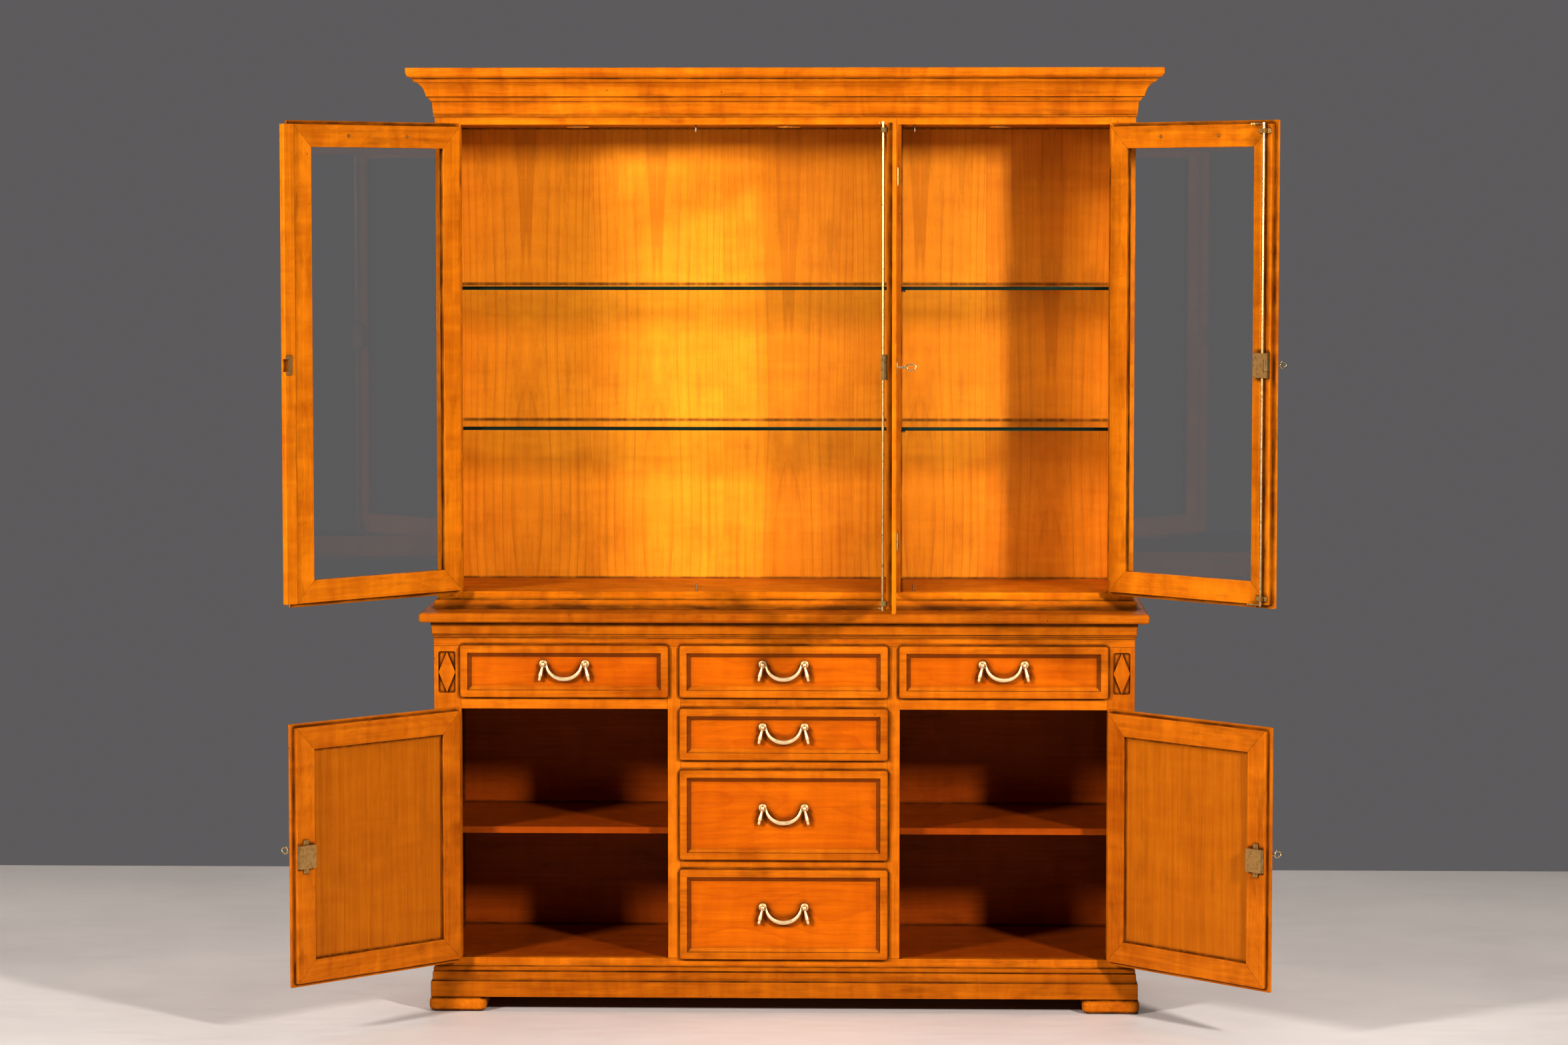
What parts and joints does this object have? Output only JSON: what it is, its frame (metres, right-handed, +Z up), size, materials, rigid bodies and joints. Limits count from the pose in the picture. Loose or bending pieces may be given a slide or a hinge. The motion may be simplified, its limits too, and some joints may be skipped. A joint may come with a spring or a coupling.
{
  "type": "china cabinet",
  "caption": "Two-part wooden china cabinet: glazed doors above, panelled doors and drawers with swag bail pulls below, doors open at rest.",
  "frame": {"origin": "on the floor, on the cabinet's middle plane, about halfway between the back and the free edge of the open middle door", "axes": "+X to the right seen from the front, +Y towards the back, +Z up"},
  "size_m": [2.2263, 0.891, 2.16],
  "materials": {
    "cherry": "satin lacquered cherry, lightly distressed",
    "inner_veneer": "satin veneer with a vertical grain",
    "pull_brass": "antiqued, semi matt",
    "lock_brass": "aged, semi matt",
    "lock_steel": "bright drawn steel",
    "clear_glass": "clear polished"
  },
  "bodies": {
    "cabinet": {"side_panels": "cherry", "back_panels": "inner_veneer", "base_face_frame": "cherry", "floor_boards": "cherry", "partitions_and_runners": "cherry", "base_top_board": "cherry", "waist_mouldings": "cherry", "base_plinth": "cherry", "feet": "cherry", "base_shelves": "cherry", "hutch_face_frame": "cherry", "hutch_ceiling_board": "cherry", "cornice": "cherry", "glass_shelves": "clear_glass", "shelf_pins_and_rod_keepers": "lock_steel", "downlights": "lock_steel", "carcass_hinge_halves": "lock_brass"},
    "upper_left_door": {"upper_left_door_frame": "cherry", "upper_left_door_glass": "clear_glass", "upper_left_door_fittings": "lock_brass"},
    "middle_door": {"middle_door_frame": "cherry", "middle_door_glass": "clear_glass", "middle_door_fittings": "lock_brass"},
    "middle_door_key": {"middle_door_key": "lock_steel"},
    "middle_door_lock_bolt": {"middle_door_lock_bolt": "lock_steel"},
    "middle_door_rod": {"middle_door_rod": "lock_steel"},
    "upper_right_door": {"upper_right_door_frame": "cherry", "upper_right_door_glass": "clear_glass", "upper_right_door_fittings": "lock_brass"},
    "upper_right_door_key": {"upper_right_door_key": "lock_steel"},
    "upper_right_door_lock_bolt": {"upper_right_door_lock_bolt": "lock_steel"},
    "upper_right_door_rod": {"upper_right_door_rod": "lock_steel"},
    "lower_left_door": {"lower_left_door_frame": "cherry", "lower_left_door_panel": "cherry", "lower_left_door_fittings": "lock_brass"},
    "lower_left_door_key": {"lower_left_door_key": "lock_steel"},
    "lower_left_door_lock_bolt": {"lower_left_door_lock_bolt": "lock_steel"},
    "lower_right_door": {"lower_right_door_frame": "cherry", "lower_right_door_panel": "cherry", "lower_right_door_fittings": "lock_brass"},
    "lower_right_door_key": {"lower_right_door_key": "lock_steel"},
    "lower_right_door_lock_bolt": {"lower_right_door_lock_bolt": "lock_steel"},
    "drawer_top_left": {"drawer_top_left": "cherry", "drawer_top_left_pull_posts": "pull_brass"},
    "drawer_top_left_bail": {"drawer_top_left_bail": "pull_brass"},
    "drawer_top_middle": {"drawer_top_middle": "cherry", "drawer_top_middle_pull_posts": "pull_brass"},
    "drawer_top_middle_bail": {"drawer_top_middle_bail": "pull_brass"},
    "drawer_top_right": {"drawer_top_right": "cherry", "drawer_top_right_pull_posts": "pull_brass"},
    "drawer_top_right_bail": {"drawer_top_right_bail": "pull_brass"},
    "drawer_second": {"drawer_second": "cherry", "drawer_second_pull_posts": "pull_brass"},
    "drawer_second_bail": {"drawer_second_bail": "pull_brass"},
    "drawer_third": {"drawer_third": "cherry", "drawer_third_pull_posts": "pull_brass"},
    "drawer_third_bail": {"drawer_third_bail": "pull_brass"},
    "drawer_bottom": {"drawer_bottom": "cherry", "drawer_bottom_pull_posts": "pull_brass"},
    "drawer_bottom_bail": {"drawer_bottom_bail": "pull_brass"}
  },
  "joints": [
    {"name": "upper_left_door_hinge", "type": "hinge", "parent": "cabinet", "child": "upper_left_door", "pos_m": [-0.75, 0.059, 1.496], "axis": [0, 0, -1], "range_deg": [-133, 30]},
    {"name": "middle_door_hinge", "type": "hinge", "parent": "cabinet", "child": "middle_door", "pos_m": [0.2575, 0.059, 1.496], "axis": [0, 0, 1], "range_deg": [-90, 75]},
    {"name": "middle_door_key_turn", "type": "hinge", "parent": "middle_door", "child": "middle_door_key", "pos_m": [0.2565, -0.412, 1.4955], "axis": [1, 0, 0], "range_deg": [0, 360]},
    {"name": "middle_door_bolt_slide", "type": "slide", "parent": "middle_door", "child": "middle_door_lock_bolt", "axis": [0, -1, 0], "range_m": [0, 0.008]},
    {"name": "middle_door_rod_turn", "type": "hinge", "parent": "middle_door", "child": "middle_door_rod", "pos_m": [0.2265, -0.416, 1.49625], "axis": [0, 0, 1], "range_deg": [0, 48]},
    {"name": "upper_right_door_hinge", "type": "hinge", "parent": "cabinet", "child": "upper_right_door", "pos_m": [0.75, 0.059, 1.496], "axis": [0, 0, 1], "range_deg": [-135.5, 28]},
    {"name": "upper_right_door_key_turn", "type": "hinge", "parent": "upper_right_door", "child": "upper_right_door_key", "pos_m": [1.08809, -0.27464, 1.4955], "axis": [0.7009, 0.7133, 0], "range_deg": [0, 360]},
    {"name": "upper_right_door_bolt_slide", "type": "slide", "parent": "upper_right_door", "child": "upper_right_door_lock_bolt", "axis": [0.7133, -0.7009, 0], "range_m": [0, 0.008]},
    {"name": "upper_right_door_rod_turn", "type": "hinge", "parent": "upper_right_door", "child": "upper_right_door_rod", "pos_m": [1.06065, -0.28973, 1.49625], "axis": [0, 0, 1], "range_deg": [0, 48]},
    {"name": "lower_left_door_hinge", "type": "hinge", "parent": "cabinet", "child": "lower_left_door", "pos_m": [-0.7465, -0.031, 0.412], "axis": [0, 0, -1], "range_deg": [-134, 28]},
    {"name": "lower_left_door_key_turn", "type": "hinge", "parent": "lower_left_door", "child": "lower_left_door_key", "pos_m": [-1.0754, -0.37302, 0.42], "axis": [-0.7193, 0.6947, 0], "range_deg": [0, 360]},
    {"name": "lower_left_door_bolt_slide", "type": "slide", "parent": "lower_left_door", "child": "lower_left_door_lock_bolt", "axis": [-0.6947, -0.7193, 0], "range_m": [0, 0.008]},
    {"name": "lower_right_door_hinge", "type": "hinge", "parent": "cabinet", "child": "lower_right_door", "pos_m": [0.7465, -0.031, 0.412], "axis": [0, 0, 1], "range_deg": [-134, 28]},
    {"name": "lower_right_door_key_turn", "type": "hinge", "parent": "lower_right_door", "child": "lower_right_door_key", "pos_m": [1.0754, -0.37302, 0.42], "axis": [0.7193, 0.6947, 0], "range_deg": [0, 360]},
    {"name": "lower_right_door_bolt_slide", "type": "slide", "parent": "lower_right_door", "child": "lower_right_door_lock_bolt", "axis": [0.6947, -0.7193, 0], "range_m": [0, 0.008]},
    {"name": "drawer_top_left_slide", "type": "slide", "parent": "cabinet", "child": "drawer_top_left", "axis": [0, -1, 0], "range_m": [0, 0.35]},
    {"name": "drawer_top_left_bail_swing", "type": "hinge", "parent": "drawer_top_left", "child": "drawer_top_left_bail", "pos_m": [-0.5015, -0.035, 0.80325], "axis": [-1, 0, 0], "range_deg": [0, 80]},
    {"name": "drawer_top_middle_slide", "type": "slide", "parent": "cabinet", "child": "drawer_top_middle", "axis": [0, -1, 0], "range_m": [0, 0.35]},
    {"name": "drawer_top_middle_bail_swing", "type": "hinge", "parent": "drawer_top_middle", "child": "drawer_top_middle_bail", "pos_m": [0, -0.035, 0.80325], "axis": [-1, 0, 0], "range_deg": [0, 80]},
    {"name": "drawer_top_right_slide", "type": "slide", "parent": "cabinet", "child": "drawer_top_right", "axis": [0, -1, 0], "range_m": [0, 0.35]},
    {"name": "drawer_top_right_bail_swing", "type": "hinge", "parent": "drawer_top_right", "child": "drawer_top_right_bail", "pos_m": [0.5015, -0.035, 0.80325], "axis": [-1, 0, 0], "range_deg": [0, 80]},
    {"name": "drawer_second_slide", "type": "slide", "parent": "cabinet", "child": "drawer_second", "axis": [0, -1, 0], "range_m": [0, 0.35]},
    {"name": "drawer_second_bail_swing", "type": "hinge", "parent": "drawer_second", "child": "drawer_second_bail", "pos_m": [0, -0.035, 0.65925], "axis": [-1, 0, 0], "range_deg": [0, 80]},
    {"name": "drawer_third_slide", "type": "slide", "parent": "cabinet", "child": "drawer_third", "axis": [0, -1, 0], "range_m": [0, 0.35]},
    {"name": "drawer_third_bail_swing", "type": "hinge", "parent": "drawer_third", "child": "drawer_third_bail", "pos_m": [0, -0.035, 0.4735], "axis": [-1, 0, 0], "range_deg": [0, 80]},
    {"name": "drawer_bottom_slide", "type": "slide", "parent": "cabinet", "child": "drawer_bottom", "axis": [0, -1, 0], "range_m": [0, 0.35]},
    {"name": "drawer_bottom_bail_swing", "type": "hinge", "parent": "drawer_bottom", "child": "drawer_bottom_bail", "pos_m": [0, -0.035, 0.24425], "axis": [-1, 0, 0], "range_deg": [0, 80]}
  ],
  "couplings": [
    {"joint": "middle_door_key_turn", "follows": "middle_door_bolt_slide", "rad_per_m": 785.4},
    {"joint": "middle_door_rod_turn", "follows": "middle_door_bolt_slide", "rad_per_m": 104.72},
    {"joint": "upper_right_door_key_turn", "follows": "upper_right_door_bolt_slide", "rad_per_m": 785.4},
    {"joint": "upper_right_door_rod_turn", "follows": "upper_right_door_bolt_slide", "rad_per_m": 104.72},
    {"joint": "lower_left_door_key_turn", "follows": "lower_left_door_bolt_slide", "rad_per_m": 785.4},
    {"joint": "lower_right_door_key_turn", "follows": "lower_right_door_bolt_slide", "rad_per_m": 785.4}
  ]
}
